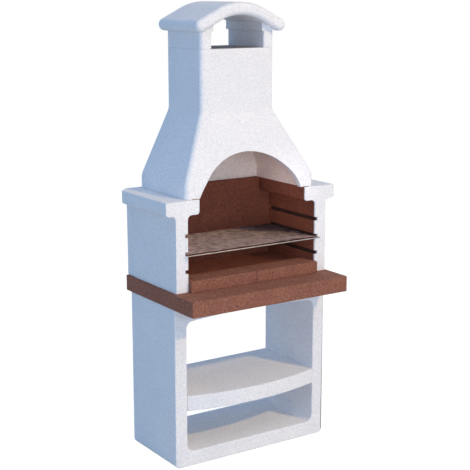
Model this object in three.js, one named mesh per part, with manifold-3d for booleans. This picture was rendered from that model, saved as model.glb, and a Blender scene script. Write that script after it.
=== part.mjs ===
// Outdoor masonry barbecue of cast concrete pieces with a refractory firebox.
// Millimetres, +Z up, front towards -Y. Origin at ground level, in the middle of the plan.
import * as THREE from 'three';
import { mergeVertices } from 'three/addons/utils/BufferGeometryUtils.js';
import Module from 'manifold-3d';

const wasm = await Module();
wasm.setup();

// Dry joints, running gaps, edges and cuts
const jointGap = 0.3;
const slideGap = 0.5;
const arris = 3;
const arrisSteps = 2;
const overrun = 5;
const weldDistance = 0.001;

// Base, a rectangular ring open at the front and the back
const baseWidth = 796;
const baseDepth = 380;
const baseHeight = 720;
const baseWall = 59.5;
const baseFloor = 67;
const baseRail = 52;
const baseFootRadius = 25;
const baseFloorFillet = 35;
const baseRailFillet = 32;
const baseRailRise = 14;
const baseArris = 5;

// Shelf with a bowed front, slid into housings in the base's walls from behind
const shelfUnderside = 256;
const shelfThickness = 68;
const shelfBow = 50;
const housingDepth = 16;
const housingStop = 45;

// Worktop slab
const worktopWidth = 810;
const worktopThickness = 70;
const worktopFrontReach = 159;
const worktopBackReach = 31;

// Firebox walls
const wallsWidth = 787;
const wallsHeight = 393;
const wallFrontReach = 11;
const wallLip = 9;
const backWallReach = 35;
const backWallThickness = 58.5;

// Ledge along the outside of the walls
const ledgeReach = 46.5;
const ledgeDepth = 61;
const ledgeNose = 15;
const ledgeCove = 20;
const ledgeTopArris = 4;
const ledgeSnub = 15.5;

// Firebox opening and the corbels that narrow it to the hood
const fireboxWidth = 667.4;
const corbelReach = 57.2;
const corbelDepth = 62.5;
const corbelNose = 13;
const corbelCove = 20;

// Refractory lining with three pairs of grooves for the grate
const liningThickness = 28;
const backLiningThickness = 25;
const backRebate = 17.5;
const grooveHeight = 17;
const grooveDepth = 15;
const grooveSpacing = 77;
const grooveCount = 3;
const lowestGroove = 81;

// Hearth tiles and front bricks
const tileThickness = 30;
const brickDepth = 110;
const brickHeight = 52;
const brickFrontReach = 23;

// Cooking grate, welded from round bars
const frontBar = 6;
const frontBarReach = 19;
const frontBarPast = 6.8;
const runnerBar = 5;
const runnerSpacing = 185;
const gridWire = 4;
const wirePitch = 12.5;
const wirePast = 2;
const firstWireSetback = 23;
const grateBackGap = 12;
const weldSink = 0.8;
const barSides = 10;
const wireSides = 8;

// Hood and its shaft
const hoodWidth = 665;
const hoodSetback = 16;
const hoodBand = 61;
const hoodSlope = 283;
const shaftHeight = 269;
const shaftWidth = 378;
const shaftDepth = 286;
const hoodFrontWall = 25;
const hoodBackWall = 28;
const shaftSideWall = 55;
const shaftFaceWall = 45;
const hoodCorner = 20;
const flueCorner = 8;
const hoodBend = 14;

// Arched mouth in the hood's front
const archRadius = 288;
const archRise = 176;

// Chimney piers and vaulted roof
const pierHeight = 72;
const pierInnerCorner = 8;
const roofWidth = 457;
const roofFrontReach = 38;
const roofBackReach = 11;
const roofRadius = 270;
const roofHalfAngle = 26;
const roofNose = 27;
const roofThickness = 55;
const vaultRadius = 240;
const vaultHalfAngle = 27;
const roofRim = 20;
const legStep = 9;

// Facets on round stretches
const filletSteps = 5;
const coveSteps = 5;
const railSteps = 12;
const bowSteps = 16;
const archSteps = 72;
const roofSteps = 12;
const noseSteps = 8;
const cornerSteps = 4;
const bendSteps = 3;
const rimSteps = 5;

// Planes that more than one piece keeps to. y is zero at the base's back.
const baseHalf = baseWidth / 2;
const baseInner = baseHalf - baseWall;
const baseFront = -baseDepth;
const worktopTop = baseHeight + worktopThickness;
const wallTop = worktopTop + wallsHeight;
const wallHalf = wallsWidth / 2;
const wallFront = baseFront - wallFrontReach;
const backWallFront = backWallReach - backWallThickness;
const backLiningBack = backWallFront + backRebate;
const backLiningFront = backLiningBack - backLiningThickness;
const liningFront = wallFront + wallLip;
const fireboxHalf = fireboxWidth / 2;
const corbelHalf = fireboxHalf - corbelReach;
const hoodFront = wallFront + hoodSetback;
const hoodBack = backWallReach - hoodSetback;
const hoodSlopeFoot = wallTop + hoodBand;
const shaftFoot = hoodSlopeFoot + hoodSlope;
const shaftTop = shaftFoot + shaftHeight;
const shaftHalf = shaftWidth / 2;
const shaftFront = hoodBack - shaftDepth;
const flueHalf = shaftHalf - shaftSideWall;
const roofUnderside = shaftTop + pierHeight;
const worktopFront = baseFront - worktopFrontReach;
const brickFront = wallFront - brickFrontReach;
const brickBack = brickFront + brickDepth;

// Materials
const concrete = new THREE.MeshStandardMaterial({ color: '#e9e6e6', roughness: 0.9, metalness: 0 });
const refractory = new THREE.MeshStandardMaterial({ color: '#8a5a50', roughness: 0.85, metalness: 0 });
const lining = new THREE.MeshStandardMaterial({ color: '#7a443c', roughness: 0.9, metalness: 0 });
const chrome = new THREE.MeshStandardMaterial({ color: '#c8c9cb', roughness: 0.25, metalness: 1 });

const barbecue = new THREE.Group();

function addPiece(name, geometry, material) {
	const mesh = new THREE.Mesh(geometry, material.clone());
	mesh.name = name;
	barbecue.add(mesh);
}

// Points along a stretch of a circle, both ends included
function arc(centreX, centreY, radius, fromDegrees, toDegrees, steps) {
	const points = [];
	for (let i = 0; i <= steps; i++) {
		const angle = THREE.MathUtils.degToRad(THREE.MathUtils.lerp(fromDegrees, toDegrees, i / steps));
		points.push(new THREE.Vector2(centreX + radius * Math.cos(angle), centreY + radius * Math.sin(angle)));
	}
	return points;
}

function corner(x, y) {
	return new THREE.Vector2(x, y);
}

function mirrored(points) {
	return points.map((point) => corner(-point.x, point.y)).reverse();
}

// Rectangle with round corners
function roundedRectangle(left, right, low, high, radius, steps) {
	return [
		...arc(right - radius, low + radius, radius, -90, 0, steps),
		...arc(right - radius, high - radius, radius, 0, 90, steps),
		...arc(left + radius, high - radius, radius, 90, 180, steps),
		...arc(left + radius, low + radius, radius, 180, 270, steps),
	];
}

// Outline pushed along its normal, with a round arris at both ends when edge is more than zero
function extrude(shape, length, edge, edgeSteps) {
	const geometry = new THREE.ExtrudeGeometry(shape, {
		depth: length - 2 * edge,
		steps: 1,
		bevelEnabled: edge > 0,
		bevelThickness: edge,
		bevelSize: edge,
		bevelOffset: -edge,
		bevelSegments: edgeSteps,
	});
	return geometry.translate(0, 0, edge);
}

// Front outline, x across and z up, from the plane y = front to the plane y = back
function frontToBack(shape, front, back, edge = 0, edgeSteps = arrisSteps) {
	const turn = new THREE.Matrix4().makeBasis(
		new THREE.Vector3(1, 0, 0),
		new THREE.Vector3(0, 0, 1),
		new THREE.Vector3(0, -1, 0),
	);
	return extrude(shape, back - front, edge, edgeSteps).applyMatrix4(turn).translate(0, back, 0);
}

// Plan outline from the height low to the height high
function lowToHigh(shape, low, high, edge = 0) {
	return extrude(shape, high - low, edge, arrisSteps).translate(0, 0, low);
}

function block(left, right, front, back, low, high) {
	const geometry = new THREE.BoxGeometry(right - left, back - front, high - low);
	return geometry.translate((left + right) / 2, (front + back) / 2, (low + high) / 2);
}

function solidOf(geometry) {
	const bare = geometry.clone();
	bare.deleteAttribute('normal');
	bare.deleteAttribute('uv');
	const merged = mergeVertices(bare, weldDistance);
	return new wasm.Manifold(new wasm.Mesh({
		numProp: 3,
		vertProperties: new Float32Array(merged.attributes.position.array),
		triVerts: new Uint32Array(merged.index.array),
	}));
}

function geometryOf(solid) {
	const mesh = solid.getMesh();
	const indexed = new THREE.BufferGeometry();
	indexed.setAttribute('position', new THREE.BufferAttribute(mesh.vertProperties, 3));
	indexed.setIndex(new THREE.BufferAttribute(mesh.triVerts, 1));
	const geometry = indexed.toNonIndexed();
	geometry.computeVertexNormals();
	return geometry;
}

function cutBy(solid, tools) {
	return tools.reduce((rest, tool) => rest.subtract(solidOf(tool)), solid);
}

function joined(geometries) {
	return geometries.map(solidOf).reduce((whole, piece) => whole.add(piece));
}

// Skin over closed sections of equal point counts, capped at both ends
function loft(sections) {
	const count = sections[0].length;
	const positions = sections.flat().flatMap((point) => [point.x, point.y, point.z]);
	const index = [];
	for (let level = 0; level < sections.length - 1; level++) {
		for (let i = 0; i < count; i++) {
			const next = (i + 1) % count;
			const low = level * count;
			const high = low + count;
			index.push(low + i, low + next, high + next);
			index.push(low + i, high + next, high + i);
		}
	}
	const last = (sections.length - 1) * count;
	for (let i = 1; i < count - 1; i++) {
		index.push(0, i + 1, i);
		index.push(last, last + i, last + i + 1);
	}
	const geometry = new THREE.BufferGeometry();
	geometry.setAttribute('position', new THREE.Float32BufferAttribute(positions, 3));
	geometry.setIndex(index);
	return geometry;
}

// Base frame: ring with round feet, a shallow arch under the top rail, and the shelf's housings
function baseFrame() {
	const ring = new THREE.Shape([
		...arc(baseHalf - baseFootRadius, baseFootRadius, baseFootRadius, -90, 0, filletSteps),
		corner(baseHalf, baseHeight),
		corner(-baseHalf, baseHeight),
		...arc(baseFootRadius - baseHalf, baseFootRadius, baseFootRadius, 180, 270, filletSteps),
	]);
	const railRadius = (baseInner ** 2 + baseRailRise ** 2) / (2 * baseRailRise);
	const railCentre = baseHeight - baseRail - railRadius;
	const filletX = baseInner - baseRailFillet;
	const filletTurn = Math.acos(filletX / (railRadius - baseRailFillet));
	const filletZ = railCentre + (railRadius - baseRailFillet) * Math.sin(filletTurn);
	const railStart = THREE.MathUtils.radToDeg(filletTurn);
	const rightOfBay = [
		...arc(baseInner - baseFloorFillet, baseFloor + baseFloorFillet, baseFloorFillet, -90, 0, filletSteps),
		...arc(filletX, filletZ, baseRailFillet, 0, railStart, filletSteps * 2),
	];
	const rail = arc(0, railCentre, railRadius, railStart, 180 - railStart, railSteps).slice(1, -1);
	ring.holes.push(new THREE.Path([...rightOfBay, ...rail, ...mirrored(rightOfBay)]));
	const shelfTop = shelfUnderside + shelfThickness;
	const housings = [-1, 1].map((side) => {
		const mouth = side * (baseInner - overrun);
		const bottom = side * (baseInner + housingDepth);
		return block(
			Math.min(mouth, bottom), Math.max(mouth, bottom),
			baseFront + housingStop, overrun,
			shelfUnderside, shelfTop + slideGap,
		);
	});
	const casting = solidOf(frontToBack(ring, baseFront, 0, baseArris));
	return geometryOf(cutBy(casting, housings));
}

// Shelf: tongues at its ends lie in the housings, and its front bows out ahead of the base
function lowerShelf() {
	const half = baseInner - jointGap;
	const tongueHalf = baseInner + housingDepth - slideGap;
	const tongueFront = baseFront + housingStop + slideGap;
	const bowRadius = (half ** 2 + shelfBow ** 2) / (2 * shelfBow);
	const bowHalfAngle = THREE.MathUtils.radToDeg(Math.asin(half / bowRadius));
	const bowCentre = baseFront - shelfBow + bowRadius;
	const plan = new THREE.Shape([
		...arc(0, bowCentre, bowRadius, -90 - bowHalfAngle, -90 + bowHalfAngle, bowSteps),
		corner(half, tongueFront),
		corner(tongueHalf, tongueFront),
		corner(tongueHalf, 0),
		corner(-tongueHalf, 0),
		corner(-tongueHalf, tongueFront),
		corner(-half, tongueFront),
	]);
	return lowToHigh(plan, shelfUnderside, shelfUnderside + shelfThickness, arris);
}

function worktopSlab() {
	const half = worktopWidth / 2;
	const plan = new THREE.Shape(
		roundedRectangle(-half, half, worktopFront, worktopBackReach, arris, arrisSteps),
	);
	return lowToHigh(plan, baseHeight, worktopTop, arris);
}

// Edge of the firebox opening on the right, from the worktop up, moved outwards by offset.
// Past the nose's radius its round corner becomes a sharp one.
function fireboxEdge(offset, bottom, top) {
	const soffit = wallTop - corbelDepth;
	const coveX = fireboxHalf - corbelCove;
	const coveZ = soffit - corbelCove;
	const noseRadius = corbelNose - offset;
	const cove = arc(coveX, coveZ, corbelCove + offset, 0, 90, coveSteps);
	const noseX = corbelHalf + corbelNose;
	const noseZ = soffit + corbelNose;
	const nose = noseRadius > 0
		? arc(noseX, noseZ, noseRadius, 270, 180, coveSteps)
		: [corner(corbelHalf + offset, soffit + offset)];
	return [
		corner(fireboxHalf + offset, bottom),
		...cove,
		...nose,
		corner(corbelHalf + offset, top),
	];
}

// Outside of the right wall from the worktop up to the ledge's top
function outerEdge() {
	const ledgeHalf = wallHalf + ledgeReach;
	const soffit = wallTop - ledgeDepth;
	return [
		corner(wallHalf, worktopTop),
		...arc(wallHalf + ledgeCove, soffit - ledgeCove, ledgeCove, 180, 90, coveSteps),
		...arc(ledgeHalf - ledgeNose, soffit + ledgeNose, ledgeNose, -90, 0, coveSteps),
		...arc(ledgeHalf - ledgeTopArris, wallTop - ledgeTopArris, ledgeTopArris, 0, 90, arrisSteps),
	];
}

function grooveHeights() {
	return Array.from({ length: grooveCount }, (unused, i) => worktopTop + lowestGroove + i * grooveSpacing);
}

function grooveCuts(front, back) {
	return grooveHeights().map((low) => block(
		fireboxHalf - overrun, fireboxHalf + grooveDepth,
		front - overrun, back + overrun,
		low, low + grooveHeight,
	));
}

// The space inside the walls, with the lining and its joint gap when offset reaches that far
function fireboxSpace(offset) {
	const right = fireboxEdge(offset, worktopTop - overrun, wallTop + overrun);
	return new THREE.Shape([...right, ...mirrored(right)]);
}

// Side wall: moulded ledge outside, corbel inside, and a thin lip that hides the lining's front edge
function sideWall() {
	const profile = new THREE.Shape([
		...outerEdge(),
		...fireboxEdge(0, worktopTop, wallTop).reverse(),
	]);
	const casting = solidOf(frontToBack(profile, wallFront, backWallFront - jointGap, arris));
	const rebate = frontToBack(
		fireboxSpace(liningThickness + jointGap), liningFront - jointGap, backWallFront + overrun,
	);
	return cutBy(casting, [rebate, ...grooveCuts(wallFront, liningFront)]);
}

// Back wall: carries on the ledges to a snubbed end and holds the back lining in a rebate
function backWall() {
	const ledgeHalf = wallHalf + ledgeReach;
	const right = outerEdge();
	const profile = new THREE.Shape([...right, ...mirrored(right)]);
	const casting = solidOf(frontToBack(profile, backWallFront, backWallReach, arris));
	const snubStart = backWallFront + ledgeSnub;
	const plan = new THREE.Shape([
		corner(-ledgeHalf - overrun, backWallFront - overrun),
		corner(ledgeHalf + overrun, backWallFront - overrun),
		corner(ledgeHalf + overrun, snubStart),
		corner(ledgeHalf, snubStart),
		corner(wallHalf, backWallReach),
		corner(wallHalf, backWallReach + overrun),
		corner(-wallHalf, backWallReach + overrun),
		corner(-wallHalf, backWallReach),
		corner(-ledgeHalf, snubStart),
		corner(-ledgeHalf - overrun, snubStart),
	]);
	const snub = solidOf(lowToHigh(plan, worktopTop - overrun, wallTop + overrun));
	const rebate = frontToBack(
		fireboxSpace(liningThickness + jointGap), backWallFront - overrun, backLiningBack + jointGap,
	);
	return geometryOf(cutBy(casting.intersect(snub), [rebate]));
}

// Side lining: a moulded slab that follows the wall and corbel, with the grate's grooves
function sideLining() {
	const profile = new THREE.Shape([
		...fireboxEdge(liningThickness, worktopTop, wallTop),
		...fireboxEdge(0, worktopTop, wallTop).reverse(),
	]);
	const slab = solidOf(frontToBack(profile, liningFront, backLiningFront - jointGap));
	return cutBy(slab, grooveCuts(liningFront, backLiningFront));
}

function backLining() {
	const right = fireboxEdge(liningThickness, worktopTop, wallTop);
	const profile = new THREE.Shape([...right, ...mirrored(right)]);
	return frontToBack(profile, backLiningFront, backLiningBack);
}

// One of two equal pieces laid side by side between the linings
function hearthPiece(front, back, height) {
	const plan = new THREE.Shape(
		roundedRectangle(jointGap, fireboxHalf - jointGap, front, back, arris, arrisSteps),
	);
	return solidOf(lowToHigh(plan, worktopTop, worktopTop + height, arris));
}

function barAcross(diameter, halfLength, sides, y, z) {
	const bar = new THREE.CylinderGeometry(diameter / 2, diameter / 2, 2 * halfLength, sides);
	return bar.rotateZ(Math.PI / 2).translate(0, y, z);
}

function barDeep(diameter, front, back, sides, x, z) {
	const bar = new THREE.CylinderGeometry(diameter / 2, diameter / 2, back - front, sides);
	return bar.translate(x, (front + back) / 2, z);
}

// Cooking grate: the outer runners ride in a pair of grooves, a front bar joins the runners'
// ends, and finer wires lie across their tops
function cookingGrate() {
	const middleGroove = grooveHeights()[(grooveCount - 1) / 2];
	const runnerCentre = middleGroove + jointGap + runnerBar / 2;
	const wireCentre = runnerCentre + (runnerBar + gridWire) / 2 - weldSink;
	const front = wallFront - frontBarReach;
	const back = backLiningFront - grateBackGap;
	const sideX = fireboxHalf + grooveDepth / 2;
	const pieces = [barAcross(frontBar, sideX + frontBarPast, barSides, front, runnerCentre)];
	for (const x of [-sideX, -runnerSpacing, 0, runnerSpacing, sideX]) {
		pieces.push(barDeep(runnerBar, front, back, barSides, x, runnerCentre));
	}
	const firstWire = front + firstWireSetback;
	const wireCount = Math.floor((back - gridWire - firstWire) / wirePitch) + 1;
	for (let i = 0; i < wireCount; i++) {
		pieces.push(barAcross(gridWire, sideX + wirePast, wireSides, firstWire + i * wirePitch, wireCentre));
	}
	return geometryOf(joined(pieces));
}

// How far a section of the hood has gone from its foot, 0, to the shaft, 1, with eased bends
function hoodLevels() {
	const easeShare = hoodBend / hoodSlope;
	const levels = [];
	for (let i = 0; i <= bendSteps; i++) {
		const t = i / bendSteps;
		levels.push([hoodSlopeFoot + hoodBend * (2 * t - 1), easeShare * t * t]);
	}
	for (let i = 0; i <= bendSteps; i++) {
		const t = i / bendSteps;
		levels.push([shaftFoot + hoodBend * (2 * t - 1), 1 - easeShare * (1 - t) ** 2]);
	}
	return levels;
}

function hoodSection(height, share, foot, shaft, radius) {
	const half = THREE.MathUtils.lerp(foot.half, shaft.half, share);
	const front = THREE.MathUtils.lerp(foot.front, shaft.front, share);
	const back = THREE.MathUtils.lerp(foot.back, shaft.back, share);
	return roundedRectangle(-half, half, front, back, radius, cornerSteps)
		.map((point) => new THREE.Vector3(point.x, point.y, height));
}

function hoodBody(foot, shaft, radius, low, high) {
	const levels = [[low, 0], ...hoodLevels(), [high, 1]];
	return loft(levels.map(([height, share]) => hoodSection(height, share, foot, shaft, radius)));
}

// Hood: hollow pyramid with an arched mouth, drawn in to a straight shaft
function chimneyHood() {
	const outside = solidOf(hoodBody(
		{ half: hoodWidth / 2, front: hoodFront, back: hoodBack },
		{ half: shaftHalf, front: shaftFront, back: hoodBack },
		hoodCorner, wallTop, shaftTop,
	));
	const inside = hoodBody(
		{ half: corbelHalf, front: hoodFront + hoodFrontWall, back: hoodBack - hoodBackWall },
		{ half: flueHalf, front: shaftFront + shaftFaceWall, back: hoodBack - shaftFaceWall },
		flueCorner, wallTop - overrun, shaftTop + overrun,
	);
	const mouthDepth = shaftFront + shaftFaceWall - hoodFront;
	const mouth = new THREE.CylinderGeometry(archRadius, archRadius, mouthDepth + overrun, archSteps);
	mouth.translate(0, hoodFront + (mouthDepth - overrun) / 2, wallTop + archRise - archRadius);
	return geometryOf(cutBy(outside, [inside, mouth]));
}

// Chimney pier: one of two blocks that carry the roof and leave the flue open in front and behind
function chimneyPier() {
	const plan = new THREE.Shape([
		...arc(shaftHalf - hoodCorner, shaftFront + hoodCorner, hoodCorner, -90, 0, cornerSteps),
		...arc(shaftHalf - hoodCorner, hoodBack - hoodCorner, hoodCorner, 0, 90, cornerSteps),
		...arc(flueHalf + pierInnerCorner, hoodBack - pierInnerCorner, pierInnerCorner, 90, 180, cornerSteps),
		...arc(flueHalf + pierInnerCorner, shaftFront + pierInnerCorner, pierInnerCorner, 180, 270, cornerSteps),
	]);
	return solidOf(lowToHigh(plan, shaftTop, roofUnderside, arris));
}

// Section of the space under the vault, moved outwards by flare
function vaultSection(centre, y, flare) {
	const slope = THREE.MathUtils.degToRad(vaultHalfAngle);
	const radius = vaultRadius + flare;
	const low = roofUnderside - overrun;
	const springZ = centre + radius * Math.cos(slope);
	const rimX = radius * Math.sin(slope) + (springZ - low) / Math.tan(slope);
	const outline = [
		corner(rimX, low),
		...arc(0, centre, radius, 90 - vaultHalfAngle, 90 + vaultHalfAngle, roofSteps),
		corner(-rimX, low),
	];
	return outline.map((point) => new THREE.Vector3(point.x, y, point.y));
}

// The space under the vault flares at its two ends, so the vault's rims come out round
function vaultTunnel(centre, front, back) {
	const rim = [];
	for (let i = 0; i <= rimSteps; i++) {
		const angle = i / rimSteps * Math.PI / 2;
		rim.push([roofRim * (1 - Math.sin(angle)), roofRim * (1 - Math.cos(angle))]);
	}
	rim.push([-overrun, roofRim]);
	return loft([
		...rim.map(([depth, flare]) => vaultSection(centre, back - depth, flare)).reverse(),
		...rim.map(([depth, flare]) => vaultSection(centre, front + depth, flare)),
	]);
}

// Roof: vault with straight flanks and bullnose eaves, and two legs that stand on the piers
function chimneyRoof() {
	const slope = THREE.MathUtils.degToRad(roofHalfAngle);
	const noseX = roofWidth / 2 - roofNose;
	const noseZ = roofUnderside + roofNose;
	const crownCentre = noseZ - (roofRadius - roofNose - noseX * Math.sin(slope)) / Math.cos(slope);
	const rightFlank = arc(noseX, noseZ, roofNose, -90, 90 - roofHalfAngle, noseSteps);
	const crown = arc(0, crownCentre, roofRadius, 90 - roofHalfAngle, 90 + roofHalfAngle, roofSteps);
	const profile = new THREE.Shape([...rightFlank, ...crown, ...mirrored(rightFlank)]);
	const front = shaftFront - roofFrontReach;
	const back = hoodBack + roofBackReach;
	const outside = solidOf(frontToBack(profile, front, back, roofRim, rimSteps));
	const vaultCentre = crownCentre + roofRadius - roofThickness - vaultRadius;
	const shell = cutBy(outside, [vaultTunnel(vaultCentre, front, back)]);
	const legInner = flueHalf - legStep;
	const legTop = noseZ + roofNose / 2;
	const rightLeg = solidOf(block(legInner, noseX, shaftFront, hoodBack, roofUnderside, legTop));
	const leftLeg = solidOf(block(-noseX, -legInner, shaftFront, hoodBack, roofUnderside, legTop));
	return geometryOf(shell.add(rightLeg).add(leftLeg));
}

// The left piece of a pair is the right one mirrored. Swapping two corners of each face turns
// its faces outwards again.
function leftHand(geometry) {
	const position = geometry.clone().scale(-1, 1, 1).attributes.position;
	const mirror = new THREE.BufferGeometry().setAttribute('position', position.clone());
	for (let i = 0; i < position.count; i += 3) {
		mirror.attributes.position.setXYZ(i, position.getX(i + 1), position.getY(i + 1), position.getZ(i + 1));
		mirror.attributes.position.setXYZ(i + 1, position.getX(i), position.getY(i), position.getZ(i));
	}
	mirror.computeVertexNormals();
	return mirror;
}

function addPair(name, rightSolid, material) {
	const right = geometryOf(rightSolid);
	addPiece(`left_${name}`, leftHand(right), material);
	addPiece(`right_${name}`, right, material);
}

addPiece('base_frame', baseFrame(), concrete);
addPiece('lower_shelf', lowerShelf(), concrete);
addPiece('worktop_slab', worktopSlab(), refractory);
addPair('side_wall', sideWall(), concrete);
addPiece('back_wall', backWall(), concrete);
addPair('lining', sideLining(), lining);
addPiece('back_lining', backLining(), lining);
addPair('hearth_tile', hearthPiece(brickBack + jointGap, backLiningFront - jointGap, tileThickness), lining);
addPair('front_brick', hearthPiece(brickFront, brickBack, brickHeight), refractory);
addPiece('cooking_grate', cookingGrate(), chrome);
addPiece('chimney_hood', chimneyHood(), concrete);
addPair('chimney_pier', chimneyPier(), concrete);
addPiece('chimney_roof', chimneyRoof(), concrete);

// The origin lies midway between the worktop's front and the back wall's back
barbecue.position.y = -(worktopFront + backWallReach) / 2;

export default barbecue;
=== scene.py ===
# Outdoor masonry barbecue of cast concrete pieces with a refractory firebox.
# Blender works in metres, and the sizes below are in millimetres. Front towards -Y, +Z up.
import math
from contextlib import contextmanager

import bmesh
import bpy
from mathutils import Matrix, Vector


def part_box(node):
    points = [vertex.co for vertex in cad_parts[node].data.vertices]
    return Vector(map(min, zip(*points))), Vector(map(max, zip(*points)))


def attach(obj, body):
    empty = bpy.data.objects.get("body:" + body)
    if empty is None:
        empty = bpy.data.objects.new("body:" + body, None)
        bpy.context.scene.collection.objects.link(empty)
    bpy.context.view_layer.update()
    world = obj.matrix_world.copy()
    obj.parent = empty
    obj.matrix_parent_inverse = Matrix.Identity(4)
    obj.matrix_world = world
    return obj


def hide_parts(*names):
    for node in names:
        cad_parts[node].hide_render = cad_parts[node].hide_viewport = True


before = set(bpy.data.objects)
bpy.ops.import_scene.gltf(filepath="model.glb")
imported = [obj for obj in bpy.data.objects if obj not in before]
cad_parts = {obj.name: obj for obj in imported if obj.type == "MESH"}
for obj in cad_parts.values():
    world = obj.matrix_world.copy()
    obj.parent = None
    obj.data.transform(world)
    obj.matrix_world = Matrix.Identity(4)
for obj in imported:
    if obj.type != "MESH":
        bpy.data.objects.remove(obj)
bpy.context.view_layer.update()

METRE = 1000
TOLERANCE = 0.06
MERGE_DISTANCE = 0.02
FLAT_DEGREES = 0.1
SKIN_DEGREES = 0.5

# Edges of the castings
ARRIS = 3
SHARP_DEGREES = 32
OVERRUN = 6

# Steps of the round edges, and sides of the cylinders that cut or make round forms
ARRIS_STEPS = 3
FINE_STEPS = 4
ROUND_STEPS = 10
COVE_STEPS = 16
FILLET_SIDES = 96
WIDE_ARC_SIDES = 360

# Base
BASE_WALL = 59.5
BASE_FLOOR = 67
BASE_RAIL = 52
FOOT_RADIUS = 25
FLOOR_FILLET = 35
RAIL_FILLET = 32
RAIL_RISE = 14
BASE_ARRIS = 5

# Shelf and its housings
SHELF_BOW = 50
SHELF_GAP = 0.3
HOUSING_DEPTH = 16
HOUSING_STOP = 45
TONGUE_GAP = 0.5

# Firebox walls
WALL_HALF = 393.5
LEDGE_DEPTH = 61
LEDGE_NOSE = 15
LEDGE_COVE = 20
LEDGE_ARRIS = 4
SNUB_START = 15.5
BACK_REBATE = 17.5
JOINT_GAP = 0.3

# Firebox opening
FIREBOX_HALF = 333.7
CORBEL_DEPTH = 62.5
CORBEL_NOSE = 13
CORBEL_COVE = 20

# Lining
LINING = 28
LINING_ARRIS = 1.5
LINING_STEPS = 2
GROOVE_HEIGHT = 17
GROOVE_DEPTH = 15
GROOVE_HEIGHTS = (871, 948, 1025)

# Grate
FRONT_BAR = 6
RUNNER_BAR = 5
GRID_WIRE = 4
GRID_PITCH = 12.5
RUNNERS = (-341.2, -185, 0, 185, 341.2)
FIRST_WIRE = 23
WIRE_HALF = 343.2
WELD_SINK = 0.8
BAR_SIDES = 20
BAR_END_SHARE = 0.2
BAR_END_STEPS = 2

# Hood
BAND = 61
SLOPE = 283
SHAFT_HALF = 189
SHAFT_DEPTH = 286
HOOD_FRONT_WALL = 25
HOOD_BACK_WALL = 28
SHAFT_FACE_WALL = 45
FLUE_HALF = 134
INNER_FOOT_HALF = 276.5
HOOD_CORNER = 20
FLUE_CORNER = 8
HOOD_BEND = 14
CORNER_STEPS = 6
BEND_STEPS = 5
ARCH_RADIUS = 288
ARCH_RISE = 176
ARCH_SIDES = 256

# Piers
PIER_STEPS = 8

# Roof
ROOF_RADIUS = 270
ROOF_ANGLE = 26
ROOF_NOSE = 27
ROOF_THICKNESS = 55
VAULT_RADIUS = 240
VAULT_ANGLE = 27
ROOF_RIM = 20
RIM_STEPS = 8
LEG_HALF = 125
TUNNEL_FOOT = 25
SLIVER = 0.01
VAULT_SIDES = 180
EAVE_SIDES = 64

# Studio, with its lengths in metres and its angles in degrees
FLOOR_SIZE = 40
FLOOR_ALBEDO = (0.5, 0.5, 0.5, 1)
SEEN_FLOOR_ALBEDO = (0.16, 0.15, 0.14, 1)
FLOOR_GLOW = 0.975
FILL_COLOUR = (0.39, 0.62, 1.0, 1)
FILL_STRENGTH = 0.56
WHITE = (1, 1, 1, 1)
SNOOT_RADIUS = 0.1
SNOOT_BLEND = 0.8
CAMERA_PLACE = (-2.77557, -4.1599, 2.04223)
CAMERA_DOWN = 12.05063
CAMERA_LEFT = 33.65103
CAMERA_SENSOR = 36
CAMERA_LENS = 88.006
CAMERA_REACH = 100


def metres(*sizes):
    """Millimetres as a vector in metres."""
    return Vector(sizes) / METRE


def box_mm(node):
    """Lowest and highest corners of a node of the frame, in millimetres."""
    low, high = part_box(node)
    return Vector(low) * METRE, Vector(high) * METRE


def only(piece):
    """Leaves one object selected and active."""
    bpy.ops.object.select_all(action="DESELECT")
    piece.select_set(True)
    bpy.context.view_layer.objects.active = piece


@contextmanager
def editing(piece, kind="FACE"):
    """Edit mode on one piece, with nothing selected."""
    only(piece)
    bpy.ops.object.mode_set(mode="EDIT")
    bpy.ops.mesh.select_mode(type=kind)
    bpy.ops.mesh.select_all(action="DESELECT")
    yield
    bpy.ops.object.mode_set(mode="OBJECT")


def on_planes(element, **planes):
    """True where all corners lie on the planes x, y, z or side, which is x on either hand."""
    hand = math.copysign(1, element.verts[0].co.x)
    for vert in element.verts:
        place = vert.co * METRE
        measures = {"x": place.x, "y": place.y, "z": place.z, "side": place.x * hand}
        for name, value in planes.items():
            if abs(measures[name] - value) > TOLERANCE:
                return False
    return True


def pick(piece, kind, test):
    """Selects the faces or edges that the test accepts, in edit mode."""
    mesh = bmesh.from_edit_mesh(piece.data)
    for element in mesh.faces if kind == "FACE" else mesh.edges:
        if test(element):
            element.select_set(True)
    bmesh.update_edit_mesh(piece.data)


def is_upright(edge):
    """True where an edge's two ends differ in height."""
    return abs(edge.verts[0].co.z - edge.verts[1].co.z) * METRE > TOLERANCE


def round_edges(piece, test, radius, segments):
    """Rounds the edges that the test accepts."""
    with editing(piece, "EDGE"):
        pick(piece, "EDGE", test)
        bpy.ops.mesh.bevel(
            offset=radius / METRE, segments=segments, profile=0.5, clamp_overlap=False
        )


def is_sharp(edge):
    """True where two faces meet at more than the angle of a smooth stretch."""
    if len(edge.link_faces) != 2:
        return False
    return edge.calc_face_angle() > math.radians(SHARP_DEGREES)


def soften(piece, width=ARRIS, segments=ARRIS_STEPS, test=is_sharp):
    """Gives sharp edges the small round arris that a casting leaves its mould with."""
    round_edges(piece, lambda edge: is_sharp(edge) and test(edge), width, segments)


def push(piece, test, *move):
    """Extrudes the faces that the test accepts, by a move in millimetres."""
    with editing(piece):
        pick(piece, "FACE", test)
        bpy.ops.mesh.extrude_region_move(TRANSFORM_OT_translate={"value": metres(*move)})


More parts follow.
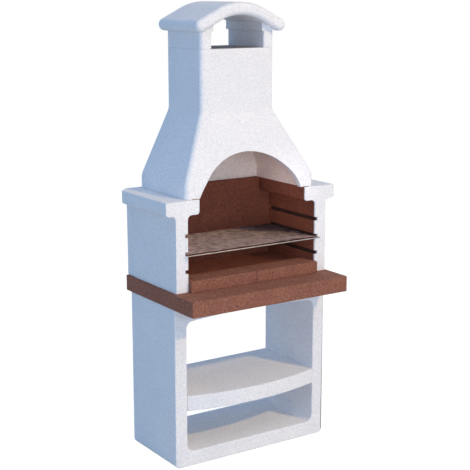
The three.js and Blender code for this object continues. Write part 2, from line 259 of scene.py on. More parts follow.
def bisect(piece, place, normal, clear=False):
    """Cuts a piece along a plane, and takes away what lies ahead of it where clear is set."""
    with editing(piece):
        bpy.ops.mesh.select_all(action="SELECT")
        bpy.ops.mesh.bisect(
            plane_co=metres(*place), plane_no=normal, use_fill=clear, clear_outer=clear
        )


def applied(piece):
    """Puts a new object's place and size into its mesh."""
    only(piece)
    bpy.ops.object.transform_apply(location=True, rotation=True, scale=True)
    return piece


def block(name, low, high):
    """Cube between two corners."""
    low = Vector(low) / METRE
    high = Vector(high) / METRE
    bpy.ops.object.select_all(action="DESELECT")
    bpy.ops.mesh.primitive_cube_add(size=1, location=(low + high) / 2, scale=high - low)
    piece = bpy.context.object
    piece.name = name
    return applied(piece)


def cylinder(name, radius, start, end, sides):
    """Cylinder between the centres of its two ends."""
    start = Vector(start) / METRE
    end = Vector(end) / METRE
    bpy.ops.object.select_all(action="DESELECT")
    bpy.ops.mesh.primitive_cylinder_add(
        vertices=sides,
        radius=radius / METRE,
        depth=(end - start).length,
        location=(start + end) / 2,
        rotation=(end - start).to_track_quat("Z", "Y").to_euler(),
    )
    piece = bpy.context.object
    piece.name = name
    return applied(piece)


def boolean(piece, tool, operation="DIFFERENCE"):
    """Cuts, joins or crosses a piece with a tool, and removes the tool."""
    modifier = piece.modifiers.new(operation.lower(), "BOOLEAN")
    modifier.operation = operation
    modifier.solver = "MANIFOLD"
    modifier.object = tool
    only(piece)
    bpy.ops.object.modifier_apply(modifier=modifier.name)
    bpy.data.objects.remove(tool)


def outward(piece):
    """Merges doubled points and turns all faces outwards."""
    with editing(piece):
        bpy.ops.mesh.select_all(action="SELECT")
        bpy.ops.mesh.remove_doubles(threshold=MERGE_DISTANCE / METRE)
        bpy.ops.mesh.normals_make_consistent(inside=False)


def merge_flat(piece):
    """Joins the faces that lie in one plane."""
    with editing(piece):
        bpy.ops.mesh.select_all(action="SELECT")
        bpy.ops.mesh.dissolve_limited(angle_limit=math.radians(FLAT_DEGREES))
    outward(piece)


def copied(piece, name):
    """Copy of a piece with its own mesh."""
    twin = piece.copy()
    twin.data = piece.data.copy()
    twin.name = name
    bpy.context.collection.objects.link(twin)
    return twin


def mirrored(piece, name):
    """The left piece of a pair, from the right one."""
    twin = copied(piece, name)
    twin.scale.x = -1
    applied(twin)
    outward(twin)
    return twin


def joined(name, pieces):
    """Makes one object of several."""
    bpy.ops.object.select_all(action="DESELECT")
    for piece in pieces:
        piece.select_set(True)
    bpy.context.view_layer.objects.active = pieces[0]
    bpy.ops.object.join()
    pieces[0].name = name
    return pieces[0]


def arch_cap(name, radius, centre, angle, ends, sides):
    """Top of a cylinder that lies from front to back, down to where its flanks reach the angle."""
    front, back = ends
    cap = cylinder(name, radius, (0, front, centre), (0, back, centre), sides)
    spring = centre + radius * math.cos(math.radians(angle))
    bisect(cap, (0, 0, spring), (0, 0, -1), clear=True)
    return cap


def wrapped(name, pieces):
    """Tight skin around several forms."""
    piece = joined(name, pieces)
    with editing(piece):
        bpy.ops.mesh.select_all(action="SELECT")
        bpy.ops.mesh.convex_hull()
        bpy.ops.mesh.select_all(action="SELECT")
        bpy.ops.mesh.dissolve_limited(angle_limit=math.radians(SKIN_DEGREES))
    outward(piece)
    return piece


def finished(piece, node, material, body="masonry"):
    """Smooths the round stretches, keeps the flat ones flat, and hands the piece to the frame."""
    only(piece)
    bpy.ops.object.shade_smooth_by_angle(angle=math.radians(SHARP_DEGREES))
    modifier = piece.modifiers.new("normals", "WEIGHTED_NORMAL")
    modifier.keep_sharp = True
    bpy.ops.object.modifier_apply(modifier=modifier.name)
    piece.data.materials.clear()
    piece.data.materials.append(material)
    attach(piece, body)
    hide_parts(node)


# Materials


def linear(hex_colour):
    """sRGB hex colour as linear RGBA."""
    channels = [int(hex_colour[i : i + 2], 16) / 255 for i in (1, 3, 5)]
    return [c / 12.92 if c <= 0.04045 else ((c + 0.055) / 1.055) ** 2.4 for c in channels] + [1]


def add_node(tree, kind, inputs=None, **settings):
    """Adds a node, sets it up, and sets or links its inputs."""
    made = tree.nodes.new(kind)
    for name, value in settings.items():
        setattr(made, name, value)
    for name, value in (inputs or {}).items():
        if isinstance(value, bpy.types.NodeSocket):
            tree.links.new(value, made.inputs[name])
        else:
            made.inputs[name].default_value = value
    return made


def per_metre(size):
    """Scale of a pattern whose features are this many millimetres across."""
    return METRE / size


def new_material(name):
    """Material with an empty node tree and Object coordinates."""
    material = bpy.data.materials.new(name)
    material.use_nodes = True
    tree = material.node_tree
    tree.nodes.clear()
    places = add_node(tree, "ShaderNodeTexCoord").outputs["Object"]
    return material, tree, places


def noise(tree, places, size, detail=2, roughness=0.5):
    """Value of a cloudy pattern with clouds of a size in millimetres."""
    made = add_node(
        tree,
        "ShaderNodeTexNoise",
        {"Vector": places, "Scale": per_metre(size), "Detail": detail, "Roughness": roughness},
    )
    return made.outputs["Fac"]


def ramp(tree, value, *stops):
    """Colour ramp from pairs of a place and a hex colour."""
    made = add_node(tree, "ShaderNodeValToRGB", {"Fac": value})
    elements = made.color_ramp.elements
    while len(elements) < len(stops):
        elements.new(0.5)
    for element, (place, colour) in zip(elements, stops):
        element.position = place
        element.color = linear(colour)
    return made.outputs["Color"]


def mixed(tree, factor, first, second, blend="MIX"):
    """Mixes two colours."""
    made = add_node(tree, "ShaderNodeMix", data_type="RGBA", blend_type=blend)
    for index, value in ((0, factor), (6, first), (7, second)):
        if isinstance(value, bpy.types.NodeSocket):
            tree.links.new(value, made.inputs[index])
        else:
            made.inputs[index].default_value = value
    return made.outputs[2]


def stepped(tree, value, low, high, first=0.0, second=1.0):
    """Maps a value from one range to another, held at both ends."""
    made = add_node(
        tree,
        "ShaderNodeMapRange",
        {"Value": value, "From Min": low, "From Max": high, "To Min": first, "To Max": second},
    )
    return made.outputs["Result"]


def bump(tree, height, depth, strength=1.0, normal=None):
    """Relief from a height between 0 and 1, with a depth in millimetres."""
    inputs = {"Height": height, "Distance": depth / METRE, "Strength": strength}
    if normal is not None:
        inputs["Normal"] = normal
    return add_node(tree, "ShaderNodeBump", inputs).outputs["Normal"]


def surface(tree, **inputs):
    """Principled shader with its output."""
    sockets = {name.replace("_", " "): value for name, value in inputs.items()}
    shader = add_node(tree, "ShaderNodeBsdfPrincipled", sockets)
    add_node(tree, "ShaderNodeOutputMaterial", {"Surface": shader.outputs["BSDF"]})


def concrete(name, pale, dark, speck):
    """White cement cast in a smooth mould: a matt skin with fine grit and faint clouds."""
    material, tree, places = new_material(name)
    clouds = noise(tree, places, size=150, detail=3)
    grit = noise(tree, places, size=7, detail=3, roughness=0.75)
    colour = ramp(tree, clouds, (0.3, dark), (0.7, pale))
    colour = mixed(tree, stepped(tree, grit, low=0.42, high=0.66), colour, linear(speck))
    skin = bump(tree, grit, depth=0.28)
    skin = bump(tree, noise(tree, places, size=40), depth=0.5, normal=skin)
    surface(tree, Base_Color=colour, Roughness=0.82, Normal=skin)
    return material


def pressed_refractory():
    """Brown fireclay pressed to a slab: grainy, matt, with dark and pale grog."""
    material, tree, places = new_material("pressed_brown_fireclay")
    clouds = noise(tree, places, size=60, detail=4, roughness=0.6)
    grog = noise(tree, places, size=9, detail=3, roughness=0.75)
    colour = ramp(tree, clouds, (0.3, "#7b4c3c"), (0.7, "#895846"))
    colour = mixed(tree, stepped(tree, grog, low=0.52, high=0.7), colour, linear("#a6735f"))
    colour = mixed(tree, stepped(tree, grog, low=0.46, high=0.3), colour, linear("#542f26"))
    skin = bump(tree, noise(tree, places, size=5, detail=3, roughness=0.7), depth=0.6)
    surface(tree, Base_Color=colour, Roughness=0.85, Normal=skin)
    return material


def fired_lining(name, dark, pale, bright_grain, dark_grain):
    """Vibrated refractory concrete of a lining: red-brown, mottled by heat and faint soot."""
    material, tree, places = new_material(name)
    clouds = noise(tree, places, size=70, detail=5, roughness=0.6)
    grain = noise(tree, places, size=7, roughness=0.7)
    colour = ramp(tree, clouds, (0.3, dark), (0.7, pale))
    colour = mixed(tree, stepped(tree, grain, low=0.56, high=0.74), colour, linear(bright_grain))
    colour = mixed(tree, stepped(tree, grain, low=0.44, high=0.3), colour, linear(dark_grain))
    skin = bump(tree, noise(tree, places, size=5, detail=3, roughness=0.65), depth=0.5)
    surface(tree, Base_Color=colour, Roughness=0.9, Normal=skin)
    return material


def chromed_wire(name, dark, pale, clear, hazed):
    """Chrome on drawn steel wire in a given tone, with a soft shine under a patchy haze."""
    material, tree, places = new_material(name)
    haze = noise(tree, places, size=30, detail=3)
    colour = ramp(tree, haze, (0.35, dark), (0.65, pale))
    shine = stepped(tree, haze, low=0.3, high=0.7, first=clear, second=hazed)
    surface(tree, Base_Color=colour, Metallic=1.0, Roughness=shine)
    return material


# Painted light and shade: a warm tint inside the hood stands in for light bounced off the brown
# lining, a grey inside the flue for the shade deep in the shaft, and a darker lining for the shade
# in the grooves.
# The front bar gets a lighter, slightly shinier chrome as painted light,
# and the wires over the fire a darker one as painted shade.
CONCRETE = concrete("white_cast_concrete", "#f6f5f5", "#f0eff0", "#dbdce1")
HOOD_BOUNCE_TINT = concrete("bounce_light_tinted_concrete", "#fbebdd", "#f2dfd1", "#ddc8ba")
FLUE_SHADE = concrete("flue_shade_concrete", "#cbc7c6", "#c0bcbb", "#aaa6a5")
REFRACTORY = pressed_refractory()
FIREBOX = fired_lining("red_refractory_concrete", "#773e2a", "#854630", "#8e5a40", "#52291d")
GROOVE_SHADE = fired_lining("groove_shade_refractory_concrete", "#3a1e16", "#44241b", "#4a2d22", "#28140f")
WIRE = chromed_wire("painted_shade_chrome", "#675c62", "#928389", 0.36, 0.54)
BAR = chromed_wire("painted_light_chrome", "#8b888d", "#a19ea3", 0.32, 0.48)

# Base frame: a ring with round feet, a shallow arch under its rail, and the shelf's housings
base_low, base_high = box_mm("base_frame")
bay_half = base_high.x - BASE_WALL
bay_top = base_high.z - BASE_RAIL
shelf_low, shelf_high = box_mm("lower_shelf")

base = block("cast_base_frame", base_low, base_high)
round_edges(
    base, lambda edge: on_planes(edge, side=base_high.x, z=0), FOOT_RADIUS, ROUND_STEPS
)
rail_radius = (bay_half**2 + RAIL_RISE**2) / (2 * RAIL_RISE)
rail_centre = bay_top - rail_radius
fillet_x = bay_half - RAIL_FILLET
fillet_z = rail_centre + math.sqrt((rail_radius - RAIL_FILLET) ** 2 - fillet_x**2)
floor_x = bay_half - FLOOR_FILLET
floor_z = BASE_FLOOR + FLOOR_FILLET
ends = (base_low.y - OVERRUN, base_high.y + OVERRUN)


def bay_corner(x, z, radius):
    """Cylinder that one corner of the bay is rounded to."""
    return cylinder("corner", radius, (x, ends[0], z), (x, ends[1], z), FILLET_SIDES)


rail_angle = math.degrees(math.asin(fillet_x / (rail_radius - RAIL_FILLET)))
bay_parts = [
    arch_cap("rail_arch", rail_radius, rail_centre, rail_angle, ends, WIDE_ARC_SIDES)
]
for side in (-1, 1):
    bay_parts.append(bay_corner(side * fillet_x, fillet_z, RAIL_FILLET))
    bay_parts.append(bay_corner(side * floor_x, floor_z, FLOOR_FILLET))
boolean(base, wrapped("bay", bay_parts))
soften(base, BASE_ARRIS, FINE_STEPS)
for side in (-1, 1):
    mouth = side * (bay_half - OVERRUN)
    bottom = side * (bay_half + HOUSING_DEPTH)
    housing = block(
        "housing",
        (min(mouth, bottom), base_low.y + HOUSING_STOP, shelf_low.z),
        (max(mouth, bottom), base_high.y + OVERRUN, shelf_high.z + JOINT_GAP),
    )
    boolean(base, housing)
outward(base)
finished(base, "base_frame", CONCRETE)

# Shelf: a bowed front between the legs, and tongues in the housings
shelf_half = bay_half - SHELF_GAP
bow_radius = (shelf_half**2 + SHELF_BOW**2) / (2 * SHELF_BOW)
shelf = block(
    "bow_front_shelf",
    (-shelf_half, shelf_low.y, shelf_low.z),
    (shelf_half, shelf_high.y, shelf_high.z),
)
bow = cylinder(
    "bow",
    bow_radius,
    (0, shelf_low.y + bow_radius, shelf_low.z - OVERRUN),
    (0, shelf_low.y + bow_radius, shelf_high.z + OVERRUN),
    WIDE_ARC_SIDES,
)
boolean(shelf, bow, "INTERSECT")
tongue_front = base_low.y + HOUSING_STOP + TONGUE_GAP
bisect(shelf, (0, tongue_front, 0), (0, 1, 0))
for side in (-1, 1):
    push(
        shelf,
        lambda face: on_planes(face, x=side * shelf_half)
        and face.calc_center_median().y * METRE > tongue_front,
        side * (shelf_high.x - shelf_half),
        0,
        0,
    )
outward(shelf)
soften(shelf)
finished(shelf, "lower_shelf", CONCRETE)

# Worktop slab
slab = block("worktop_slab_plate", *box_mm("worktop_slab"))
soften(slab, ARRIS, FINE_STEPS)
finished(slab, "worktop_slab", REFRACTORY)

# Side walls: moulded ledge outside, corbel inside, thin lip in front of the lining
wall_low, wall_high = box_mm("right_side_wall")
back_low, back_high = box_mm("back_wall")
lining_low, lining_high = box_mm("right_lining")
corbel_half = wall_low.x
corbel_soffit = wall_high.z - CORBEL_DEPTH
ledge_soffit = wall_high.z - LEDGE_DEPTH


def ledge(piece):
    """Pushes a ledge out of each outer face."""
    bisect(piece, (0, 0, ledge_soffit), (0, 0, 1))
    for hand in (-1, 1):
        push(
            piece,
            lambda face: on_planes(face, x=hand * WALL_HALF)
            and face.calc_center_median().z * METRE > ledge_soffit,
            hand * (wall_high.x - WALL_HALF),
            0,
            0,
        )


def round_ledge(piece):
    """Rounds the cove, nose and top of the ledges."""
    merge_flat(piece)
    for side, level, radius, steps in (
        (WALL_HALF, ledge_soffit, LEDGE_COVE, ROUND_STEPS),
        (wall_high.x, ledge_soffit, LEDGE_NOSE, ROUND_STEPS),
        (wall_high.x, wall_high.z, LEDGE_ARRIS, FINE_STEPS),
    ):
        round_edges(piece, lambda edge: on_planes(edge, side=side, z=level), radius, steps)


def firebox_block(name, offset, front, back):
    """Form of the firebox space, grown by offset, with coves in place of its upper corners."""
    half = FIREBOX_HALF + offset
    top = corbel_soffit + offset
    form = block(name, (-half, front, wall_low.z - OVERRUN), (half, back, top))
    for hand in (-1, 1):
        bisect(form, (hand * (corbel_half + offset), 0, 0), (1, 0, 0))
    push(
        form,
        lambda face: on_planes(face, z=top)
        and abs(face.calc_center_median().x) * METRE < corbel_half,
        0,
        0,
        wall_high.z + OVERRUN - top,
    )
    merge_flat(form)
    round_edges(
        form, lambda edge: on_planes(edge, side=half, z=top), CORBEL_COVE + offset, COVE_STEPS
    )
    if offset < CORBEL_NOSE:
        round_edges(
            form,
            lambda edge: on_planes(edge, side=corbel_half + offset, z=top),
            CORBEL_NOSE - offset,
            ROUND_STEPS,
        )
    return form


def trimmed(form):
    """Cuts a firebox form off level with the walls' foot and top."""
    bisect(form, (0, 0, wall_low.z), (0, 0, -1), clear=True)
    bisect(form, (0, 0, wall_high.z), (0, 0, 1), clear=True)
    outward(form)


def groove_cuts(piece, front, back):
    """Cuts the three grooves for the grate's runners."""
    for low in GROOVE_HEIGHTS:
        groove = block(
            "groove",
            (FIREBOX_HALF - OVERRUN, front, low),
            (FIREBOX_HALF + GROOVE_DEPTH, back, low + GROOVE_HEIGHT),
        )
        boolean(piece, groove)


def rims(front, back):
    """Test for edges in a casting's front or back plane."""
    return lambda edge: on_planes(edge, y=front) or on_planes(edge, y=back)


wall = block(
    "right_wall_casting",
    (FIREBOX_HALF, wall_low.y, wall_low.z),
    (WALL_HALF, wall_high.y, wall_high.z),
)
ledge(wall)
bisect(wall, (0, 0, corbel_soffit), (0, 0, 1))
push(
    wall,
    lambda face: on_planes(face, x=FIREBOX_HALF)
    and face.calc_center_median().z * METRE > corbel_soffit,
    corbel_half - FIREBOX_HALF,
    0,
    0,
)
round_ledge(wall)
for face_x, radius in ((FIREBOX_HALF, CORBEL_COVE), (corbel_half, CORBEL_NOSE)):
    round_edges(
        wall, lambda edge: on_planes(edge, x=face_x, z=corbel_soffit), radius, ROUND_STEPS
    )
soften(wall, test=rims(wall_low.y, wall_high.y))
rebate = firebox_block(
    "rebate", LINING + JOINT_GAP, lining_low.y - JOINT_GAP, wall_high.y + OVERRUN
)
boolean(wall, rebate)
groove_cuts(wall, wall_low.y - OVERRUN, lining_low.y + OVERRUN)
outward(wall)
left_wall = mirrored(wall, "left_wall_casting")
finished(wall, "right_side_wall", CONCRETE)
finished(left_wall, "left_side_wall", CONCRETE)


def clear_of_cove_foot(edge):
    """False where the cove leaves the wall too flat for an arris."""
    middle = (edge.verts[0].co + edge.verts[1].co) * METRE / 2
    run = abs(middle.x) - WALL_HALF
    return not (middle.z < ledge_soffit and TOLERANCE < run < LEDGE_COVE / 2)


# Back wall: the ledges carried on to snubbed ends
back_wall = block(
    "back_wall_casting",
    (-WALL_HALF, back_low.y, back_low.z),
    (WALL_HALF, back_high.y, back_high.z),
)
ledge(back_wall)
round_ledge(back_wall)
snub_run = back_high.y - back_low.y - SNUB_START
for side in (-1, 1):
    bisect(
        back_wall,
        (side * back_high.x, back_low.y + SNUB_START, 0),
        (side * snub_run, back_high.x - WALL_HALF, 0),
        clear=True,
    )
outward(back_wall)
soften(back_wall, test=clear_of_cove_foot)
rebate = firebox_block(
    "back_rebate", LINING + JOINT_GAP, back_low.y - OVERRUN, back_low.y + BACK_REBATE + JOINT_GAP
)
boolean(back_wall, rebate)
outward(back_wall)
finished(back_wall, "back_wall", CONCRETE)

# Linings: slabs that follow the walls and corbels, with grooves for the grate
lining = firebox_block("right_firebox_lining", LINING, lining_low.y, lining_high.y)
boolean(lining, firebox_block("hollow", 0, lining_low.y - OVERRUN, lining_high.y + OVERRUN))
bisect(lining, (0, 0, 0), (-1, 0, 0), clear=True)
trimmed(lining)
groove_cuts(lining, lining_low.y - OVERRUN, lining_high.y + OVERRUN)
outward(lining)
soften(lining, LINING_ARRIS, LINING_STEPS)
left_lining = mirrored(lining, "left_firebox_lining")
finished(lining, "right_lining", FIREBOX)
finished(left_lining, "left_lining", FIREBOX)

# Painted shade: the faces inside the grooves get a darker copy of the lining
groove_depths = (FIREBOX_HALF + LINING_ARRIS, FIREBOX_HALF + GROOVE_DEPTH + TOLERANCE)
for piece in (lining, left_lining):
    piece.data.materials.append(GROOVE_SHADE)
    for face in piece.data.polygons:
        place = face.center * METRE
        inside = lining_low.y + LINING_ARRIS < place.y < lining_high.y - LINING_ARRIS
        if inside and groove_depths[0] < abs(place.x) < groove_depths[1]:
            face.material_index = 1

# Back lining
back_lining_low, back_lining_high = box_mm("back_lining")
back_lining = firebox_block("back_firebox_lining", LINING, back_lining_low.y, back_lining_high.y)
trimmed(back_lining)
soften(back_lining, LINING_ARRIS, LINING_STEPS)
finished(back_lining, "back_lining", FIREBOX)

# Hearth tiles and front bricks
for side in ("left", "right"):
    tile = block(f"{side}_hearth_slab", *box_mm(f"{side}_hearth_tile"))
    soften(tile)
    finished(tile, f"{side}_hearth_tile", FIREBOX)
    brick = block(f"{side}_fire_brick", *box_mm(f"{side}_front_brick"))
    soften(brick)
    finished(brick, f"{side}_front_brick", REFRACTORY)

# Cooking grate: bars and wires with rounded ends, welded where they cross
grate_low, grate_high = box_mm("cooking_grate")


def bar(name, diameter, start, end):
    """Round bar with eased ends."""
    piece = cylinder(name, diameter / 2, start, end, BAR_SIDES)
    soften(piece, diameter * BAR_END_SHARE, BAR_END_STEPS)
    return piece


runner_z = GROOVE_HEIGHTS[1] + JOINT_GAP + RUNNER_BAR / 2
wire_z = runner_z + (RUNNER_BAR + GRID_WIRE) / 2 - WELD_SINK
front_y = grate_low.y + FRONT_BAR / 2
bars = [
    bar(
        "front_bar",
        FRONT_BAR,
        (grate_low.x, front_y, runner_z),
        (grate_high.x, front_y, runner_z),
    )
]
runner = bar("runner", RUNNER_BAR, (0, front_y, runner_z), (0, grate_high.y, runner_z))
for x in RUNNERS:
    copy = copied(runner, "runner")
    copy.location.x = x / METRE
    bars.append(applied(copy))
bpy.data.objects.remove(runner)
first_y = front_y + FIRST_WIRE
wire = bar("wire", GRID_WIRE, (-WIRE_HALF, first_y, wire_z), (WIRE_HALF, first_y, wire_z))
wire_count = int((grate_high.y - GRID_WIRE - first_y) / GRID_PITCH) + 1
for i in range(wire_count):
    copy = copied(wire, "wire")
    copy.location.y = i * GRID_PITCH / METRE
    bars.append(applied(copy))
bpy.data.objects.remove(wire)
grate = joined("welded_cooking_grate", bars)
finished(grate, "cooking_grate", WIRE, "grate")

# Painted light: the front bar gets the lighter copy of the chrome, and the wires keep the darker
# one as painted shade
grate.data.materials.append(BAR)
for face in grate.data.polygons:
    if face.center.y * METRE < front_y + FRONT_BAR / 2:
        face.material_index = 1

# Hood: a hollow pyramid with an arched mouth, drawn in to a straight shaft
hood_low, hood_high = box_mm("chimney_hood")
band_top = hood_low.z + BAND
shaft_foot = band_top + SLOPE
shaft_front = hood_high.y - SHAFT_DEPTH


def hood_form(name, foot, shaft, low, high, corner):
    """Band, slope and shaft between two plans, each a half width, a front and a back."""
    half, front, back = foot
    shaft_half, top_front, top_back = shaft
    form = block(name, (-half, front, low), (half, back, band_top))
    push(form, lambda face: on_planes(face, z=band_top), 0, 0, SLOPE)
    depth_scale = (top_back - top_front) / (back - front)
    fixed_y = (top_back - depth_scale * back) / (1 - depth_scale)
    with editing(form):
        pick(form, "FACE", lambda face: on_planes(face, z=shaft_foot))
        bpy.ops.transform.resize(
            value=(shaft_half / half, depth_scale, 1),
            center_override=metres(0, fixed_y, shaft_foot),
        )
    push(form, lambda face: on_planes(face, z=shaft_foot), 0, 0, high - shaft_foot)
    outward(form)
    round_edges(form, is_upright, corner, CORNER_STEPS)
    for level in (band_top, shaft_foot):
        round_edges(form, lambda edge: on_planes(edge, z=level), HOOD_BEND, BEND_STEPS)
    outward(form)
    return form


hood = hood_form(
    "cast_chimney_hood",
    (hood_high.x, hood_low.y, hood_high.y),
    (SHAFT_HALF, shaft_front, hood_high.y),
    hood_low.z,
    hood_high.z,
    HOOD_CORNER,
)
soften(hood)
cavity = hood_form(
    "cavity",
    (INNER_FOOT_HALF, hood_low.y + HOOD_FRONT_WALL, hood_high.y - HOOD_BACK_WALL),
    (FLUE_HALF, shaft_front + SHAFT_FACE_WALL, hood_high.y - SHAFT_FACE_WALL),
    hood_low.z - OVERRUN,
    hood_high.z + OVERRUN,
    FLUE_CORNER,
)
boolean(hood, cavity)
arch_z = hood_low.z + ARCH_RISE - ARCH_RADIUS
arch = cylinder(
    "arch",
    ARCH_RADIUS,
    (0, hood_low.y - OVERRUN, arch_z),
    (0, shaft_front + SHAFT_FACE_WALL, arch_z),
    ARCH_SIDES,
)
boolean(hood, arch)
outward(hood)
finished(hood, "chimney_hood", CONCRETE)

# Painted light and shade: the faces inside the hood get a warm tint for light bounced off the
# lining, and those inside its shaft a grey for the shade deep in the flue
hood.data.materials.append(HOOD_BOUNCE_TINT)
# Grey copy for the faces inside the shaft: painted shade deep in the flue
hood.data.materials.append(FLUE_SHADE)
foot_front = hood_low.y + HOOD_FRONT_WALL
flue_front = shaft_front + SHAFT_FACE_WALL
for face in hood.data.polygons:
    place = face.center * METRE
    share = min(max((place.z - band_top) / SLOPE, 0), 1)
    half = INNER_FOOT_HALF + share * (FLUE_HALF - INNER_FOOT_HALF)
    front = foot_front + share * (flue_front - foot_front)
    if abs(place.x) < half + ARRIS and front - ARRIS < place.y < hood_high.y - ARRIS:
        face.material_index = 2 if place.z > shaft_foot else 1

# Piers that leave the flue open in front and behind
pier_low, pier_high = box_mm("right_chimney_pier")
pier = block("right_pier_block", pier_low, pier_high)
for face_x, radius, steps in (
    (pier_high.x, HOOD_CORNER, PIER_STEPS),
    (pier_low.x, FLUE_CORNER, CORNER_STEPS),
):
    round_edges(pier, lambda edge: is_upright(edge) and on_planes(edge, x=face_x), radius, steps)
soften(pier)
left_pier = mirrored(pier, "left_pier_block")
finished(pier, "right_chimney_pier", CONCRETE)
finished(left_pier, "left_chimney_pier", CONCRETE)

# Roof: a vault with straight flanks and bullnose eaves, on two legs
roof_low, roof_high = box_mm("chimney_roof")
nose_x = roof_high.x - ROOF_NOSE
nose_z = roof_low.z + ROOF_NOSE
crown_centre = roof_high.z - ROOF_RADIUS


def eave(side):
    """Bullnose along one side of the roof."""
    x = side * nose_x
    start, end = (x, roof_low.y, nose_z), (x, roof_high.y, nose_z)
    return cylinder("eave", ROOF_NOSE, start, end, EAVE_SIDES)


roof_ends = (roof_low.y, roof_high.y)
crown = arch_cap("crown", ROOF_RADIUS, crown_centre, ROOF_ANGLE, roof_ends, VAULT_SIDES)
roof = wrapped("vaulted_roof", [crown, eave(-1), eave(1)])
soften(roof, ROOF_RIM, RIM_STEPS)
tunnel_centre = crown_centre + ROOF_RADIUS - ROOF_THICKNESS - VAULT_RADIUS
slope = math.radians(VAULT_ANGLE)
foot_z = roof_low.z - TUNNEL_FOOT
spring_z = tunnel_centre + VAULT_RADIUS * math.cos(slope)
foot_x = VAULT_RADIUS * math.sin(slope) + (spring_z - foot_z) / math.tan(slope)


def flare(form, start, hand):
    """Carries the tunnel on to an end of the roof in steps that widen, for a round rim."""
    with editing(form):
        pick(form, "FACE", lambda face: on_planes(face, y=start))
        gone, radius = 0, VAULT_RADIUS
        for i in range(1, RIM_STEPS + 2):
            angle = math.radians(90) * min(i / RIM_STEPS, 1)
            further = ROOF_RIM * math.sin(angle) if i <= RIM_STEPS else ROOF_RIM + OVERRUN
            wider = VAULT_RADIUS + ROOF_RIM * (1 - math.cos(angle))
            step = metres(0, hand * (further - gone), 0)
            bpy.ops.mesh.extrude_region_move(TRANSFORM_OT_translate={"value": step})
            bpy.ops.transform.resize(
                value=(wider / radius, 1, wider / radius),
                center_override=metres(0, 0, tunnel_centre),
            )
            gone, radius = further, wider


def tunnel():
    """Cutter for the hollow under the roof."""
    ends = (roof_low.y + ROOF_RIM, roof_high.y - ROOF_RIM)
    cap = arch_cap("cap", VAULT_RADIUS, tunnel_centre, VAULT_ANGLE, ends, VAULT_SIDES)
    foot = block("foot", (-foot_x, ends[0], foot_z), (foot_x, ends[1], foot_z + SLIVER))
    form = wrapped("tunnel", [cap, foot])
    flare(form, ends[0], -1)
    flare(form, ends[1], 1)
    outward(form)
    return form


boolean(roof, tunnel())
for side in (-1, 1):
    leg_x = sorted((side * LEG_HALF, side * nose_x))
    leg = block(
        "leg",
        (leg_x[0], pier_low.y, roof_low.z),
        (leg_x[1], pier_high.y, nose_z + ROOF_NOSE / 2),
    )
    boolean(roof, leg, "UNION")
outward(roof)
finished(roof, "chimney_roof", CONCRETE)

# Floor and backdrop: white to the camera and in reflections, plain to the light


def seen_directly(tree):
    """1 for what the camera sees, also by reflection or through glass, and 0 for lighting."""
    paths = add_node(tree, "ShaderNodeLightPath").outputs
    seen = paths["Is Camera Ray"]
    for name in ("Is Glossy Ray", "Is Transmission Ray"):
        inputs = {0: seen, 1: paths[name]}
        seen = add_node(tree, "ShaderNodeMath", inputs, operation="MAXIMUM").outputs[0]
    return seen


bpy.ops.object.select_all(action="DESELECT")
bpy.ops.mesh.primitive_plane_add(size=FLOOR_SIZE, location=(0, 0, 0))
floor = bpy.context.object
floor.name = "studio_floor"
floor_material, tree, places = new_material("white_studio_floor")
lit = add_node(tree, "ShaderNodeBsdfDiffuse", {"Color": FLOOR_ALBEDO}).outputs[0]
shaded = add_node(tree, "ShaderNodeBsdfDiffuse", {"Color": SEEN_FLOOR_ALBEDO}).outputs[0]
glow = add_node(tree, "ShaderNodeEmission", {"Color": WHITE, "Strength": FLOOR_GLOW}).outputs[0]
pale = add_node(tree, "ShaderNodeAddShader", {0: shaded, 1: glow}).outputs[0]
both = add_node(tree, "ShaderNodeMixShader", {0: seen_directly(tree), 1: lit, 2: pale}).outputs[0]
add_node(tree, "ShaderNodeOutputMaterial", {"Surface": both})
floor.data.materials.append(floor_material)

world = bpy.data.worlds.new("studio")
bpy.context.scene.world = world
world.use_nodes = True
world.node_tree.nodes.clear()
tree = world.node_tree
fill = add_node(
    tree, "ShaderNodeBackground", {"Color": FILL_COLOUR, "Strength": FILL_STRENGTH}
).outputs[0]
backdrop = add_node(tree, "ShaderNodeBackground", {"Color": WHITE, "Strength": 1}).outputs[0]
both = add_node(
    tree, "ShaderNodeMixShader", {0: seen_directly(tree), 1: fill, 2: backdrop}
).outputs[0]
add_node(tree, "ShaderNodeOutputWorld", {"Surface": both})

# Lamps


def aimed(name, kind, place, aim, power, colour):
    """New lamp that points at a place on the object."""
    bpy.ops.object.light_add(type=kind, location=place)
    lamp = bpy.context.object
    lamp.name = name
    lamp.data.energy = power
    lamp.data.color = colour
    lamp.rotation_euler = (Vector(aim) - Vector(place)).to_track_quat("-Z", "Y").to_euler()
    return lamp


def soft_lamp(name, place, aim, size, power, colour):
    """Square studio lamp."""
    lamp = aimed(name, "AREA", place, aim, power, colour)
    lamp.data.size = size
    return lamp


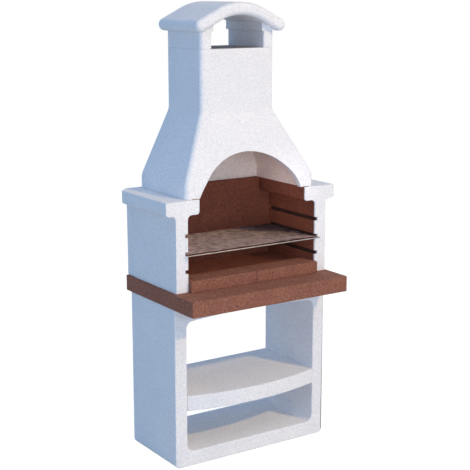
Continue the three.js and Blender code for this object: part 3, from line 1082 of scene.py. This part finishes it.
def narrow_lamp(name, place, aim, degrees, power, colour):
    """Small snooted lamp that reaches in at the front opening."""
    lamp = aimed(name, "SPOT", place, aim, power, colour)
    lamp.data.shadow_soft_size = SNOOT_RADIUS
    lamp.data.spot_size = math.radians(degrees)
    lamp.data.spot_blend = SNOOT_BLEND


key = soft_lamp(
    "key_lamp",
    place=(4.44, -9.66, 8.48),
    aim=(0, 0, 1),
    size=0.5,
    power=695,
    colour=(1, 0.7, 0.29),
)
soft_lamp(
    "front_lamp",
    place=(-1, -5, 1.3),
    aim=(0, 0, 0.9),
    size=2.5,
    power=95,
    colour=(0.8, 0.87, 0.98),
)
soft_lamp(
    "top_lamp",
    place=(0.3, -3.6, 6.2),
    aim=(0, 0, 1),
    size=2.5,
    power=50,
    colour=(1, 0.88, 0.82),
)
soft_lamp(
    "left_lamp",
    place=(-5.2, 0.3, 1.5),
    aim=(0, 0, 1.2),
    size=3,
    power=36,
    colour=(0.49, 0.75, 1),
)
narrow_lamp(
    "lining_lamp",
    place=(-4.2, -2.56, 2.3),
    aim=(0.33, 0.03, 1),
    degrees=5,
    power=265,
    colour=(1, 0.88, 0.76),
)
narrow_lamp(
    "hood_lamp",
    place=(-2.67, -4, 0.5),
    aim=(0.27, -0.01, 1.225),
    degrees=2.8,
    power=440,
    colour=(1, 0.84, 0.95),
)

# The key is flagged off the back lining, which lies in even shade
flag = bpy.data.collections.new("key_flag")
flag.objects.link(back_lining)
flag.collection_objects[0].light_linking.link_state = "EXCLUDE"
key.light_linking.receiver_collection = flag

# Camera at the photograph's viewing angle
camera_data = bpy.data.cameras.new("camera")
camera = bpy.data.objects.new("camera", camera_data)
bpy.context.collection.objects.link(camera)
camera.location = CAMERA_PLACE
camera.rotation_euler = (math.radians(90 - CAMERA_DOWN), 0, math.radians(-CAMERA_LEFT))
camera_data.sensor_width = CAMERA_SENSOR
camera_data.lens = CAMERA_LENS
camera_data.clip_end = CAMERA_REACH
bpy.context.scene.camera = camera
bpy.context.scene.view_settings.view_transform = "Standard"
